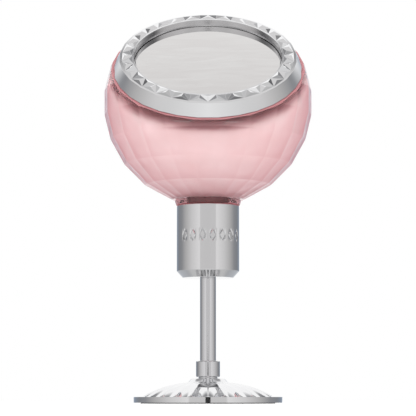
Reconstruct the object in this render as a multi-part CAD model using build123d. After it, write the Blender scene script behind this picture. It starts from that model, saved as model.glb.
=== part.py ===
from build123d import *
import os
from math import cos, radians, sin, sqrt

# A goblet-shaped spray bottle that stands on its own cap.  Foot, stem and cap are one stand.
# The bottle hangs in the cap neck down, with a crimped spray pump in its neck, and lifts out.
# Millimetres, +Z up, front towards -Y, origin at the centre of the foot pad's underside.

# ---- Foot ----------------------------------------------------------------------------------
FOOT_RADIUS = 27.9
FOOT_RIM = 2.1              # thickness of the metal rim
LEDGE = 3.9                 # flat ledge between the rim's edge and the dome
DOME_STEP = 0.45            # the dome's edge stands above the ledge
DOME_RISE = 4.79
DOME_BULGE = 0.7            # how far the dome's arc stands above its chord
CROWN_RADIUS = 9.5          # where the fluted dome ends
HUB_RADIUS = 6.5
HUB_RISE = 1.66
SPIGOT_RADIUS = 3.6
SPIGOT_RISE = 0.54
FLUTES = 24
FLUTE_SHARE = 0.88          # part of each pitch that the flute takes up
FLUTE_DEPTH = 0.42
PAD_THICKNESS = 1.2
PAD_PROUD = 0.3             # pad below the metal
PAD_MARGIN = 2.6            # metal ring left outside the pad's pocket

# ---- Stem ----------------------------------------------------------------------------------
STEM_LENGTH = 31.1          # tube seen between ferrule and cap
STEM_RADIUS = 3.0
STEM_WALL = 0.8
FERRULE_RADIUS = 4.5
FERRULE_HEIGHT = 6.06
FERRULE_SOCKET = 4.0        # how deep the tube sits in the ferrule
FERRULE_ROUND = 0.5
ROD_RADIUS = 2.0            # M4
NUT_FLATS = 7.0
NUT_HEIGHT = 3.2
WASHER_RADIUS = 4.6
WASHER_THICKNESS = 0.8

# ---- Crimp neck and pump, a standard 15 mm size ----------------------------------------------
NECK_HEIGHT = 6.2           # from the bottle's land to the lip
NECK_BORE = 5.35
BEAD_RADIUS = 7.5
BEAD_HEIGHT = 2.6
BEAD_UNDERCUT = 0.9
GASKET_THICKNESS = 0.8
FLANGE_THICKNESS = 0.7
CRIMP_SHEET = 0.4
CRIMP_TUCK = 1.0
COLLAR_WALL = 0.9
COLLAR_OVERLAP = 1.7        # collar reaches this far past the button's inner end
STROKE = 4.5
STROKE_SPARE = 0.3
BUTTON_RADIUS = 6.4
BUTTON_LENGTH = 8.1
BUTTON_SHEET = 0.5
BUTTON_END = 0.7
SOCKET_DEPTH = 2.2          # stem in the button
SPRAY_RADIUS = 1.5
SPRAY_DEPTH = 1.8
SPRAY_HOLE = 0.3
CHANNEL_RADIUS = 0.5
TURRET_RADIUS = 4.2
TURRET_LENGTH = 2.2
TURRET_PLUG = 3.1
PUMP_STEM_RADIUS = 1.6
PUMP_STEM_BORE = 0.7
PUMP_SHOULDER = 0.9
PISTON_RADIUS = 3.5
PISTON_LENGTH = 3.5
PISTON_LIP = 0.9            # sealing edge at each end of the piston
PISTON_SLOPE = 0.4          # from that edge down to the waist
PUMP_WALL = 1.0
SPRING_LENGTH = 7.5
SPRING_RADIUS = 2.5
SPRING_WIRE = 0.5
SPRING_TURNS = 5
BALL_RADIUS = 1.0
BALL_TRAVEL = 0.8
THROAT_RADIUS = 0.75
THROAT_LENGTH = 0.7
TUBE_RADIUS = 1.45
TUBE_WALL = 0.5
TUBE_SOCKET = 4.2
TUBE_BEND = 40.0
TUBE_END_GAP = 3.0          # from the tube's end to the bottle's base

# ---- Cap -----------------------------------------------------------------------------------
CAP_WALL = 0.9
CAP_FLOOR = 1.5
CAP_CHAMFER_OUT = 2.36
CAP_CHAMFER_UP = 2.55
WEIGHT_THICKNESS = 3.3
LINER_WALL = 1.1
LINER_FLOOR = 1.0
RIBS = 8
RIB_HEIGHT = 0.45
RIB_WIDTH = 1.2
LOZENGES = 7                # engraved row round the front of the cap
LOZENGE_PITCH = 19.0        # degrees
LOZENGE_MIDDLE = 9.0        # degrees to the right of the front
LOZENGE_HEIGHT = 4.2
LOZENGE_WIDTH = 2.4
LOZENGE_DEPTH = 0.2
LOZENGE_DROP = 11.5         # from the cap's rim to the row

# ---- Bottle --------------------------------------------------------------------------------
BOWL_RADIUS = 39.6
BOWL_WALL = 5.0
BOWL_COLUMNS = 22
ROW_EDGES = (-70, -53, -37, -21, -7, 6.5, 21, 37, 53, 70)   # degrees of latitude
LAND_OVERHANG = 0.8         # glass outside the cap's rim
LAND_TAPER = 0.5
LAND_HEIGHT = 1.7
LAND_GROOVE = 0.4
TILT = 40.0                 # degrees, of the cut that carries the mirror
CUT_DISTANCE = 14.8         # from the bowl's centre to the cut
BASE_THICKNESS = 5.3
HEEL_ROUND = 4.0

# ---- Mirror and its bezel --------------------------------------------------------------------
LIP_SHOW = 1.23             # glass seen outside the bezel
BEZEL_COLUMNS = 30
BEZEL_HEIGHT = 4.76
BEZEL_DRAFT = 2.3
BEZEL_FACE = 5.5
BEZEL_CREST = 0.84          # inner edge stands above the outer one
BEZEL_FLOOR = 1.2
MIRROR_THICKNESS = 1.5
GLUE = 0.2

# ---- Clearances ------------------------------------------------------------------------------
PAD_GAP = 0.1
ROD_GAP = 0.1
NUT_GAP = 0.4
WEIGHT_GAP = 0.2
LINER_GAP = 0.1
GRIP_GAP = 0.25             # collar to grip ribs
END_GAP = 0.6               # button to the liner's floor
LAND_GAP = 0.4              # cap's rim to the bottle's land
CRIMP_GAP = 0.1
BUTTON_GAP = 0.4            # button in the collar
SWIVEL_GAP = 0.05           # button on the pump stem
GUIDE_GAP = 0.15            # pump stem in the turret
PISTON_GAP = 0.1
STOP_GAP = 0.1
BALL_GAP = 0.25
MIRROR_GAP = 0.2

# ---- Heights, from the table up -----------------------------------------------------------------
Z_NUT = PAD_THICKNESS + NUT_GAP
Z_WASHER = Z_NUT + NUT_HEIGHT
Z_NUT_SEAT = Z_WASHER + WASHER_THICKNESS
Z_RIM = PAD_PROUD + FOOT_RIM
Z_DOME = Z_RIM + DOME_STEP + DOME_RISE
Z_HUB = Z_DOME + HUB_RISE
Z_SPIGOT = Z_HUB + SPIGOT_RISE
Z_FERRULE = Z_SPIGOT + FERRULE_HEIGHT
Z_CAP = Z_FERRULE + STEM_LENGTH
Z_WEIGHT = Z_CAP + CAP_FLOOR
Z_LINER = Z_WEIGHT + WEIGHT_THICKNESS + WEIGHT_GAP
Z_BUTTON = Z_LINER + LINER_FLOOR + END_GAP
Z_BUTTON_IN = Z_BUTTON + BUTTON_LENGTH
Z_SPRAY = Z_BUTTON + BUTTON_END + SPRAY_RADIUS + END_GAP
Z_STEM_END = Z_BUTTON_IN - TURRET_LENGTH - SOCKET_DEPTH - END_GAP - STOP_GAP
Z_CRIMP = Z_BUTTON_IN + STROKE + STROKE_SPARE
Z_FLANGE = Z_CRIMP + CRIMP_SHEET
Z_GASKET = Z_FLANGE + FLANGE_THICKNESS
Z_LIP = Z_GASKET + GASKET_THICKNESS
Z_LAND = Z_LIP + NECK_HEIGHT
Z_CAP_TOP = Z_LAND - LAND_GAP
Z_BOWL = Z_LAND + LAND_HEIGHT + LAND_GROOVE - BOWL_RADIUS * sin(radians(ROW_EDGES[0]))
Z_STOP = Z_FLANGE + TURRET_PLUG
Z_PISTON = Z_STOP + STOP_GAP + PUMP_SHOULDER
Z_SPRING = Z_PISTON + PISTON_LENGTH
Z_THROAT = Z_SPRING + SPRING_LENGTH
BALL_SEAT = sqrt(BALL_RADIUS ** 2 - THROAT_RADIUS ** 2)
Z_BALL_CAGE = Z_THROAT + THROAT_LENGTH
Z_BALL = Z_BALL_CAGE + BALL_SEAT + STOP_GAP
Z_BALL_SEAT = Z_BALL + BALL_TRAVEL + STOP_GAP + BALL_SEAT
Z_TUBE = Z_BALL_SEAT + THROAT_LENGTH
Z_HOUSING_END = Z_TUBE + TUBE_SOCKET

# ---- Radii that follow from the fits ---------------------------------------------------------
DOME_RADIUS = FOOT_RADIUS - LEDGE
PAD_RADIUS = FOOT_RADIUS - PAD_MARGIN - PAD_GAP
ROD_HOLE = ROD_RADIUS + ROD_GAP
CRIMP_BORE = BEAD_RADIUS + CRIMP_GAP
CRIMP_RADIUS = CRIMP_BORE + CRIMP_SHEET
NECK_RADIUS = BEAD_RADIUS - BEAD_UNDERCUT
COLLAR_BORE = CRIMP_RADIUS + CRIMP_GAP
COLLAR_RADIUS = COLLAR_BORE + COLLAR_WALL
LINER_BORE = COLLAR_RADIUS + GRIP_GAP + RIB_HEIGHT
LINER_RADIUS = LINER_BORE + LINER_WALL
CAP_BORE = LINER_RADIUS + LINER_GAP
CAP_RADIUS = CAP_BORE + CAP_WALL
CAP_FOOT = CAP_RADIUS - CAP_CHAMFER_OUT
LAND_RADIUS = CAP_RADIUS + LAND_OVERHANG
WEIGHT_RADIUS = CAP_FOOT
PUMP_BORE = PISTON_RADIUS + PISTON_GAP
PUMP_RADIUS = PUMP_BORE + PUMP_WALL
CAVITY_RADIUS = BOWL_RADIUS - BOWL_WALL
CAVITY_DISTANCE = CUT_DISTANCE - BASE_THICKNESS
CAVITY_CORNER = sqrt(CAVITY_RADIUS ** 2 - CAVITY_DISTANCE ** 2)
CUT_RADIUS = sqrt(BOWL_RADIUS ** 2 - CUT_DISTANCE ** 2)
BEZEL_RADIUS = CUT_RADIUS - LIP_SHOW
BEZEL_TOP_RADIUS = BEZEL_RADIUS - BEZEL_DRAFT
BEZEL_BORE = BEZEL_TOP_RADIUS - BEZEL_FACE

# ---- Distances along the tilted axis, from the bowl's centre ----------------------------------
D_BEZEL = CUT_DISTANCE + GLUE
D_FLOOR = D_BEZEL + BEZEL_FLOOR
D_MIRROR = D_FLOOR + GLUE
D_BEZEL_TOP = D_BEZEL + BEZEL_HEIGHT
D_BEZEL_CREST = D_BEZEL_TOP + BEZEL_CREST

TILTED = Plane(
    origin=(0, 0, Z_BOWL),
    x_dir=(1, 0, 0),
    z_dir=(0, -sin(radians(TILT)), cos(radians(TILT))),
)


def turned(*corners):
    """Solid of revolution about Z; each corner is (radius, height)."""
    return revolve(Plane.XZ * make_face(Polyline(*corners, close=True)), Axis.Z)


def ring(outer, inner, low, high):
    """Plain ring about Z between two heights."""
    return turned((inner, low), (outer, low), (outer, high), (inner, high))


def disc(radius, low, high):
    """Plain disc about Z between two heights."""
    return turned((0, low), (radius, low), (radius, high), (0, high))


def hex_nut(low):
    """M4 nut about Z, resting on the height low."""
    outline = RegularPolygon(NUT_FLATS / 2, 6, major_radius=False)
    nut = Plane.XY.offset(low) * extrude(outline, NUT_HEIGHT)
    return nut - disc(ROD_RADIUS, low, low + NUT_HEIGHT)


def facet_stack(columns, sections):
    """Polygonal solid with flat facets; each section is (corner radius, height)."""
    outlines = [Plane.XY.offset(z) * RegularPolygon(r, columns) for r, z in sections]
    return loft(outlines, ruled=True)


# ---- Foot and stem ------------------------------------------------------------------------------

def dome_arc():
    """Arc of the dome's outline, from its edge to the crown."""
    return SagittaArc((DOME_RADIUS, Z_RIM + DOME_STEP), (CROWN_RADIUS, Z_DOME), -DOME_BULGE)


def flute():
    """Tapered round cutter that follows the dome's arc and opens towards the rim."""
    arc = dome_arc()
    sections = []
    for share in (0, 0.5, 1):
        point = arc @ share
        half_width = point.X * radians(360 / FLUTES) * FLUTE_SHARE / 2
        radius = (half_width ** 2 + FLUTE_DEPTH ** 2) / (2 * FLUTE_DEPTH)
        centre = Vector(point.X, 0, point.Y + radius - FLUTE_DEPTH)
        sections.append(Plane(origin=centre, z_dir=(1, 0, 0)) * Circle(radius))
    return loft(sections) + Pos(centre) * Sphere(radius)


def make_foot_base():
    """Die-cast fluted dome with a flat rim, a pad pocket and a counterbore for the lower nut."""
    underside = Polyline(
        (0, Z_SPIGOT),
        (0, PAD_PROUD),
        (FOOT_RADIUS, PAD_PROUD),
        (FOOT_RADIUS, Z_RIM),
        (DOME_RADIUS, Z_RIM),
        (DOME_RADIUS, Z_RIM + DOME_STEP),
    )
    crown = Polyline(
        (CROWN_RADIUS, Z_DOME),
        (HUB_RADIUS, Z_HUB),
        (SPIGOT_RADIUS, Z_HUB),
        (SPIGOT_RADIUS, Z_SPIGOT),
        (0, Z_SPIGOT),
    )
    foot = revolve(Plane.XZ * make_face(underside + dome_arc() + crown), Axis.Z)
    cutter = flute()
    for step in range(FLUTES):
        foot -= Rot(0, 0, (step + 0.5) * 360 / FLUTES) * cutter
    foot -= disc(PAD_RADIUS + PAD_GAP, 0, PAD_THICKNESS)
    foot -= disc(WASHER_RADIUS + NUT_GAP, 0, Z_NUT_SEAT)
    return foot - disc(ROD_HOLE, 0, Z_SPIGOT)


def make_stem_ferrule():
    """Turned sleeve on the foot's spigot that holds the tube's lower end."""
    sleeve = fillet(disc(FERRULE_RADIUS, Z_SPIGOT, Z_FERRULE).edges(), FERRULE_ROUND)
    sleeve -= disc(ROD_HOLE, Z_SPIGOT, Z_FERRULE)
    return sleeve - disc(STEM_RADIUS, Z_FERRULE - FERRULE_SOCKET, Z_FERRULE)


def make_stem_tube():
    """Thin tube between ferrule and cap."""
    return ring(STEM_RADIUS, STEM_RADIUS - STEM_WALL, Z_FERRULE - FERRULE_SOCKET, Z_CAP)


def make_tie_rod():
    """Threaded rod that clamps foot, ferrule, tube and cap together."""
    return disc(ROD_RADIUS, Z_NUT, Z_WEIGHT + NUT_HEIGHT)


# ---- Cap ----------------------------------------------------------------------------------------

def make_cap_shell():
    """Plated metal cup with a chamfered foot and a hole for the rod."""
    slope = CAP_CHAMFER_OUT / CAP_CHAMFER_UP
    inner_foot = CAP_BORE - slope * (CAP_CHAMFER_UP - CAP_FLOOR)
    cup = turned(
        (ROD_HOLE, Z_CAP),
        (CAP_FOOT, Z_CAP),
        (CAP_RADIUS, Z_CAP + CAP_CHAMFER_UP),
        (CAP_RADIUS, Z_CAP_TOP),
        (CAP_BORE, Z_CAP_TOP),
        (CAP_BORE, Z_CAP + CAP_CHAMFER_UP),
        (inner_foot, Z_WEIGHT),
        (ROD_HOLE, Z_WEIGHT),
    )
    half_width = LOZENGE_WIDTH / 2
    half_height = LOZENGE_HEIGHT / 2
    outline = make_face(
        Polyline((half_width, 0), (0, half_height), (-half_width, 0), (0, -half_height), close=True)
    )
    front = Plane(origin=(0, LOZENGE_DEPTH - CAP_RADIUS, Z_CAP_TOP - LOZENGE_DROP), z_dir=(0, -1, 0))
    lozenge = front * extrude(outline, CAP_WALL)
    for step in range(LOZENGES):
        cup -= Rot(0, 0, LOZENGE_MIDDLE + (step - (LOZENGES - 1) / 2) * LOZENGE_PITCH) * lozenge
    return cup


def make_cap_weight():
    """Steel ring on the cap's floor, round the upper nut."""
    nut_room = NUT_FLATS / sqrt(3) + NUT_GAP
    return ring(WEIGHT_RADIUS, nut_room, Z_WEIGHT, Z_WEIGHT + WEIGHT_THICKNESS)


def make_cap_liner():
    """Moulded cup in the cap, with ribs that guide the pump's collar."""
    liner = disc(LINER_RADIUS, Z_LINER, Z_CAP_TOP) - disc(LINER_BORE, Z_LINER + LINER_FLOOR, Z_CAP_TOP)
    low = Z_BUTTON_IN - COLLAR_OVERLAP
    rib = Pos(LINER_BORE, 0, (low + Z_CAP_TOP) / 2) * Box(2 * RIB_HEIGHT, RIB_WIDTH, Z_CAP_TOP - low)
    for step in range(RIBS):
        liner += Rot(0, 0, (step + 0.5) * 360 / RIBS) * rib
    return liner


# ---- Pump -----------------------------------------------------------------------------------------

def make_crimp_ferrule():
    """Thin aluminium sleeve whose skirt is tucked in under the glass bead."""
    hole = TURRET_RADIUS + CRIMP_GAP
    bead_end = Z_LIP + BEAD_HEIGHT
    tuck_end = bead_end + BEAD_UNDERCUT + CRIMP_TUCK
    tuck = BEAD_UNDERCUT - 2 * CRIMP_GAP
    return turned(
        (hole, Z_CRIMP),
        (CRIMP_RADIUS, Z_CRIMP),
        (CRIMP_RADIUS, bead_end + CRIMP_SHEET),
        (CRIMP_RADIUS - tuck, tuck_end),
        (CRIMP_BORE - tuck, tuck_end),
        (CRIMP_BORE, bead_end + CRIMP_SHEET),
        (CRIMP_BORE, Z_FLANGE),
        (hole, Z_FLANGE),
    )


def make_neck_gasket():
    """Soft ring between the pump's flange and the glass lip."""
    return ring(BEAD_RADIUS - CRIMP_GAP, PUMP_RADIUS + CRIMP_GAP, Z_GASKET, Z_LIP)


def make_pump_collar():
    """Plated collar pressed over the crimp; the button dips into its mouth."""
    low = Z_BUTTON_IN - COLLAR_OVERLAP
    mouth = BUTTON_RADIUS + BUTTON_GAP
    step = Z_CRIMP - CRIMP_GAP
    high = Z_CAP_TOP + CRIMP_GAP
    collar = disc(COLLAR_RADIUS, low, high) - disc(mouth, low, step)
    return collar - disc(COLLAR_BORE, step, high)


def make_pump_housing():
    """Moulded pump body: flange, piston chamber, ball cage and tube socket."""
    nose = TUBE_RADIUS + PUMP_WALL
    shoulder = Z_THROAT + PUMP_WALL
    body = turned(
        (0, Z_FLANGE),
        (BEAD_RADIUS - 2 * CRIMP_GAP, Z_FLANGE),
        (BEAD_RADIUS - 2 * CRIMP_GAP, Z_GASKET),
        (PUMP_RADIUS, Z_GASKET),
        (PUMP_RADIUS, shoulder),
        (nose, shoulder + PUMP_RADIUS - nose),
        (nose, Z_HOUSING_END),
        (0, Z_HOUSING_END),
    )
    body -= disc(TURRET_RADIUS + PUMP_WALL, Z_FLANGE, Z_FLANGE + FLANGE_THICKNESS / 2)
    body -= disc(PUMP_BORE, Z_FLANGE, Z_THROAT)
    body -= disc(THROAT_RADIUS, Z_THROAT, Z_TUBE)
    body -= disc(BALL_RADIUS + BALL_GAP, Z_BALL_CAGE, Z_BALL_SEAT)
    return body - disc(TUBE_RADIUS, Z_TUBE, Z_HOUSING_END)


def make_pump_turret():
    """Guide bush that snaps into the housing and stops the stem."""
    bore = PUMP_STEM_RADIUS + GUIDE_GAP
    brim = TURRET_RADIUS + PUMP_WALL - CRIMP_GAP
    plug = PUMP_BORE - CRIMP_GAP
    return turned(
        (bore, Z_FLANGE - TURRET_LENGTH),
        (TURRET_RADIUS, Z_FLANGE - TURRET_LENGTH),
        (TURRET_RADIUS, Z_FLANGE),
        (brim, Z_FLANGE),
        (brim, Z_FLANGE + FLANGE_THICKNESS / 2),
        (plug, Z_FLANGE + FLANGE_THICKNESS / 2),
        (plug, Z_STOP),
        (bore, Z_STOP),
    )


def make_pump_stem():
    """Hollow stem with the shoulder that rests on the turret."""
    shoulder = PISTON_RADIUS - PUMP_WALL
    return turned(
        (PUMP_STEM_BORE, Z_STEM_END),
        (PUMP_STEM_RADIUS, Z_STEM_END),
        (PUMP_STEM_RADIUS, Z_STOP + STOP_GAP),
        (shoulder, Z_STOP + STOP_GAP),
        (shoulder, Z_PISTON),
        (PUMP_STEM_RADIUS, Z_PISTON),
        (PUMP_STEM_RADIUS, Z_SPRING),
        (PUMP_STEM_BORE, Z_SPRING),
    )


def make_pump_piston():
    """Piston ring on the stem, with a sealing lip at each end."""
    waist = PISTON_RADIUS - CRIMP_SHEET
    return turned(
        (PUMP_STEM_RADIUS, Z_PISTON),
        (PISTON_RADIUS, Z_PISTON),
        (PISTON_RADIUS, Z_PISTON + PISTON_LIP),
        (waist, Z_PISTON + PISTON_LIP + PISTON_SLOPE),
        (waist, Z_SPRING - PISTON_LIP - PISTON_SLOPE),
        (PISTON_RADIUS, Z_SPRING - PISTON_LIP),
        (PISTON_RADIUS, Z_SPRING),
        (PUMP_STEM_RADIUS, Z_SPRING),
    )


def make_return_spring():
    """Coil spring between the piston and the end of the chamber."""
    low = Z_SPRING + SPRING_WIRE / 2
    height = SPRING_LENGTH - SPRING_WIRE
    coil = Pos(0, 0, low) * Helix(height / SPRING_TURNS, height, SPRING_RADIUS)
    section = Plane(origin=coil @ 0, z_dir=coil % 0) * Circle(SPRING_WIRE / 2)
    return sweep(section, path=coil)


def make_check_ball():
    """Ball of the inlet valve, lying on the cage's inner stop because the pump is upside down."""
    return Pos(0, 0, Z_BALL) * Sphere(BALL_RADIUS)


def tilted_point(across, distance):
    """Point in the bowl's mid-plane: across the tilted face towards the back, and out along its axis."""
    return TILTED.from_local_coords((0, across, distance))


def make_dip_tube():
    """Tube from the pump to the far corner of the bottle."""
    end = tilted_point(CAVITY_CORNER - 2 * TUBE_END_GAP, CAVITY_DISTANCE - TUBE_END_GAP)
    bend = (Z_HOUSING_END + Z_BOWL) / 2
    run = FilletPolyline((0, 0, Z_TUBE), (0, 0, bend), end, radius=TUBE_BEND)
    section = Circle(TUBE_RADIUS) - Circle(TUBE_RADIUS - TUBE_WALL)
    return sweep(Pos(0, 0, Z_TUBE) * section, path=run)


# ---- Button -----------------------------------------------------------------------------------------

def spray_bore(radius, outer, inner):
    """Round bar along -Y at the nozzle's height, between two distances from the axis."""
    start = Plane(origin=(0, -inner, Z_SPRAY), z_dir=(0, -1, 0))
    return start * Cylinder(radius, outer - inner, align=(Align.CENTER, Align.CENTER, Align.MIN))


def make_button_core():
    """Moulded insert: stem socket, outlet channel and nozzle pocket."""
    radius = BUTTON_RADIUS - BUTTON_SHEET - SWIVEL_GAP
    core = disc(radius, Z_BUTTON + BUTTON_END, Z_BUTTON_IN)
    core -= disc(TURRET_RADIUS + BUTTON_GAP, Z_STEM_END + SOCKET_DEPTH, Z_BUTTON_IN)
    core -= disc(PUMP_STEM_RADIUS + SWIVEL_GAP, Z_STEM_END - STOP_GAP, Z_STEM_END + SOCKET_DEPTH)
    core -= disc(PUMP_STEM_BORE, Z_SPRAY, Z_STEM_END)
    core -= spray_bore(CHANNEL_RADIUS, BUTTON_RADIUS, 0)
    return core - spray_bore(SPRAY_RADIUS, BUTTON_RADIUS, BUTTON_RADIUS - SPRAY_DEPTH)


def make_button_shell():
    """Plated cup over the insert, open where the nozzle looks out."""
    shell = disc(BUTTON_RADIUS, Z_BUTTON, Z_BUTTON_IN)
    shell -= disc(BUTTON_RADIUS - BUTTON_SHEET, Z_BUTTON + BUTTON_END, Z_BUTTON_IN)
    return shell - spray_bore(SPRAY_RADIUS, BUTTON_RADIUS + BUTTON_SHEET, 0)


def make_nozzle_insert():
    """Small disc with the spray hole, pressed into its pocket."""
    inner = BUTTON_RADIUS - SPRAY_DEPTH
    outer = BUTTON_RADIUS - BUTTON_SHEET / 2
    insert = spray_bore(SPRAY_RADIUS, outer, inner)
    return insert - spray_bore(SPRAY_HOLE, BUTTON_RADIUS, inner)


# ---- Bottle and mirror ----------------------------------------------------------------------------

def make_glass_bottle():
    """Thick faceted globe cut by a tilted plane, with a crimp neck below it."""
    rows = [(BOWL_RADIUS * cos(radians(a)), Z_BOWL + BOWL_RADIUS * sin(radians(a))) for a in ROW_EDGES]
    globe = facet_stack(BOWL_COLUMNS, rows)
    globe = split(globe, bisect_by=TILTED.offset(CUT_DISTANCE), keep=Keep.BOTTOM)
    land_top = Z_LAND + LAND_HEIGHT
    bead_end = Z_LIP + BEAD_HEIGHT
    neck = turned(
        (0, Z_LIP),
        (BEAD_RADIUS, Z_LIP),
        (BEAD_RADIUS, bead_end),
        (NECK_RADIUS, bead_end + BEAD_UNDERCUT),
        (NECK_RADIUS, Z_LAND),
        (LAND_RADIUS - LAND_TAPER, Z_LAND),
        (LAND_RADIUS, land_top),
        (LAND_RADIUS - LAND_GROOVE, land_top),
        (LAND_RADIUS - LAND_GROOVE, land_top + BOWL_WALL),
        (0, land_top + BOWL_WALL),
    )
    outside = globe + neck
    half = make_face(
        Line((0, -CAVITY_RADIUS), (0, CAVITY_DISTANCE))
        + Line((0, CAVITY_DISTANCE), (CAVITY_CORNER, CAVITY_DISTANCE))
        + ThreePointArc((CAVITY_CORNER, CAVITY_DISTANCE), (CAVITY_RADIUS, 0), (0, -CAVITY_RADIUS))
    )
    corner = half.vertices().sort_by_distance((CAVITY_CORNER, CAVITY_DISTANCE, 0))[0]
    cavity = TILTED * revolve(Plane.XZ * fillet(corner, HEEL_ROUND), Axis.Z)
    return outside - cavity - disc(NECK_BORE, Z_LIP, Z_BOWL - CAVITY_RADIUS + BOWL_WALL)


def make_bezel_ring():
    """Faceted metal ring on a thin floor that carries the mirror."""
    slope = BEZEL_CREST / BEZEL_FACE
    body = facet_stack(
        BEZEL_COLUMNS,
        [
            (BEZEL_RADIUS, D_BEZEL),
            (BEZEL_TOP_RADIUS, D_BEZEL_TOP),
            (BEZEL_BORE - MIRROR_GAP, D_BEZEL_CREST + slope * MIRROR_GAP),
        ],
    )
    return TILTED * (body - disc(BEZEL_BORE, D_FLOOR, D_BEZEL_CREST + BEZEL_FLOOR))


def make_bezel_glue():
    """Bond line between the glass and the bezel."""
    return TILTED * disc(BEZEL_BORE, CUT_DISTANCE, D_BEZEL)


def make_mirror_glue():
    """Bond line under the mirror."""
    return TILTED * disc(BEZEL_BORE - 2 * MIRROR_GAP, D_FLOOR, D_MIRROR)


def make_mirror_disc():
    """Round mirror sunk in the bezel."""
    return TILTED * disc(BEZEL_BORE - MIRROR_GAP, D_MIRROR, D_MIRROR + MIRROR_THICKNESS)


PARTS = {
    "foot_base": make_foot_base,
    "foot_pad": lambda: disc(PAD_RADIUS, 0, PAD_THICKNESS),
    "foot_nut": lambda: hex_nut(Z_NUT),
    "foot_washer": lambda: ring(WASHER_RADIUS, ROD_HOLE, Z_WASHER, Z_NUT_SEAT),
    "stem_ferrule": make_stem_ferrule,
    "stem_tube": make_stem_tube,
    "tie_rod": make_tie_rod,
    "cap_shell": make_cap_shell,
    "cap_nut": lambda: hex_nut(Z_WEIGHT),
    "cap_weight": make_cap_weight,
    "cap_liner": make_cap_liner,
    "glass_bottle": make_glass_bottle,
    "bezel_ring": make_bezel_ring,
    "bezel_glue": make_bezel_glue,
    "mirror_disc": make_mirror_disc,
    "mirror_glue": make_mirror_glue,
    "crimp_ferrule": make_crimp_ferrule,
    "neck_gasket": make_neck_gasket,
    "pump_collar": make_pump_collar,
    "pump_housing": make_pump_housing,
    "pump_turret": make_pump_turret,
    "pump_stem": make_pump_stem,
    "pump_piston": make_pump_piston,
    "return_spring": make_return_spring,
    "check_ball": make_check_ball,
    "dip_tube": make_dip_tube,
    "button_core": make_button_core,
    "button_shell": make_button_shell,
    "nozzle_insert": make_nozzle_insert,
}

os.makedirs("parts", exist_ok=True)
for name, make in PARTS.items():
    export_step(make(), "parts/" + name + ".step")
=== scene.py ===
import math

import bmesh
import bpy
from mathutils import Matrix, Vector


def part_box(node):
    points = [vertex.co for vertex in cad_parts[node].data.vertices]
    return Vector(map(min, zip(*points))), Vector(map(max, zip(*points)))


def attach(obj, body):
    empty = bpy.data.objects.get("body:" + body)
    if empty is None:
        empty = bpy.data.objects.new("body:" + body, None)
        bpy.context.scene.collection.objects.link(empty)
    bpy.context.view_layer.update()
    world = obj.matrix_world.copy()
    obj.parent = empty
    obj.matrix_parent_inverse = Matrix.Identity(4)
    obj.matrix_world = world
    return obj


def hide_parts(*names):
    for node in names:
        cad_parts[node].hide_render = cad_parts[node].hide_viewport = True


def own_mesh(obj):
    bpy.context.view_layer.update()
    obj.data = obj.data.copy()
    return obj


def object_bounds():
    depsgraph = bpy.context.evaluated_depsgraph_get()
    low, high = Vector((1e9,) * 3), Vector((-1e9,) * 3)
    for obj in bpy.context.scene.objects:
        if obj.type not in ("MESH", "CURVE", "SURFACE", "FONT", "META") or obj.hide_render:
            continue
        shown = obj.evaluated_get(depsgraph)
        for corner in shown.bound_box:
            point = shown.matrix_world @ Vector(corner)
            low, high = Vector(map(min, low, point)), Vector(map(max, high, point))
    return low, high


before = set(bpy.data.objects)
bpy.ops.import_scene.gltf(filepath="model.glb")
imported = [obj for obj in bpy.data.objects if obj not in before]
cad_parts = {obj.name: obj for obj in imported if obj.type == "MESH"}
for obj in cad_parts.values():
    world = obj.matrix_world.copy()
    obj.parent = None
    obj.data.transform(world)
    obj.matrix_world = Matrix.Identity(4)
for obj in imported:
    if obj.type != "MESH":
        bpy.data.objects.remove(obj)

cad_low, cad_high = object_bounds()
MM = 0.001

# ---- Camera ---------------------------------------------------------------------------------
# A long lens at table height, tipped up a little to centre the whole object. The lens has no shift,
# so the object stays in the middle of the frame from any other side too.
CAMERA_DISTANCE = 0.728
CAMERA_HEIGHT = 0.0012
CAMERA_TILT = math.radians(5.677)
LENS = 167.37

camera = bpy.data.objects.new("camera", bpy.data.cameras.new("camera"))
bpy.context.scene.collection.objects.link(camera)
camera.location = (0, -CAMERA_DISTANCE, CAMERA_HEIGHT)
camera.rotation_euler = (math.pi / 2 + CAMERA_TILT, 0, 0)
camera.data.lens = LENS
camera.data.sensor_width = 36
camera.data.clip_start = 0.01
bpy.context.scene.camera = camera
bpy.context.scene.view_settings.view_transform = "Standard"

# ---- Studio light ------------------------------------------------------------------------------
# A white tent with grey flags. Polished metal shows this light and little else, so each ring of the
# tent has its own tones from the camera's side (0) round to the back (1).
DEEP_FLOOR = ((0.0, "C6C6C6"),)
NEAR_FLOOR = ((0.0, "E9E9E9"), (0.45, "C4C4C4"), (0.62, "ACADAF"), (0.88, "BCC0C6"), (0.97, "FFFFFF"))
LOW_WALL = (
    (0.000, "CDCCCC"),
    (0.155, "CFCECE"),
    (0.170, "E6E5E5"),
    (0.340, "D3D2D2"),
    (0.500, "B4B3B3"),
    (0.620, "909194"),
    (0.740, "85888D"),
    (0.880, "8C97A6"),
    (0.920, "B4BCC8"),
    (0.970, "FFFFFF"),
)
HIGH_WALL = (
    (0.00, "EDEDED"),
    (0.12, "8A8A8B"),
    (0.18, "5A5A5B"),
    (0.26, "C8C8C8"),
    (0.40, "4C4C4E"),
    (0.52, "9C9C9D"),
    (0.62, "6C6C6E"),
    (0.70, "E4E4E4"),
    (0.78, "FFFFFF"),
)
EAVES = (
    (0.00, "F4F4F4"),
    (0.10, "C2C2C2"),
    (0.20, "A0A0A2"),
    (0.34, "FAFAFA"),
    (0.46, "848486"),
    (0.62, "E6E6E6"),
    (0.74, "606062"),
    (0.86, "9A9A9C"),
    (0.92, "FFFFFF"),
)
ROOF = ((0.0, "D9D8D8"),)
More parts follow.
